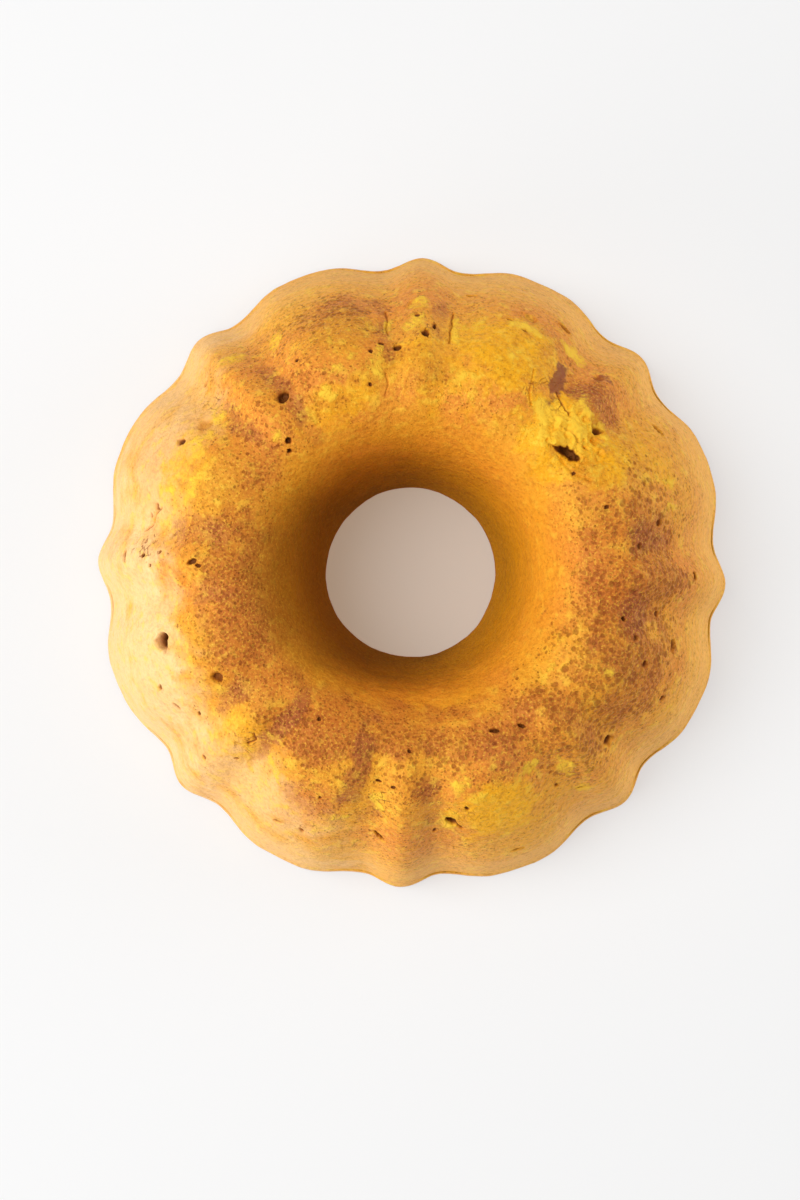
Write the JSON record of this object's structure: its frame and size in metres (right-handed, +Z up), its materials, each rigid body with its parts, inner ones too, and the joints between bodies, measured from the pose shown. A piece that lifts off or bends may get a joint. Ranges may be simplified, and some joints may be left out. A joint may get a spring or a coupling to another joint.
{
  "type": "bundt cake",
  "caption": "Fluted ring cake with broad lobes, narrow ridges, a round funnel hole through the middle and a golden brown baked crust.",
  "frame": {"origin": "On the funnel's axis at the height of the underside, on which the cake stands", "axes": "+Z up along the funnel's axis; +X through the top of one of the narrow ridges; +Y a quarter turn on, also through a narrow ridge"},
  "size_m": [0.2422, 0.2429, 0.0805],
  "materials": {
    "crust": "golden brown baked crust, satin to matt, with fine pores and small patches of yellow crumb"
  },
  "bodies": {
    "root": {"cake": "crust"}
  },
  "joints": []
}
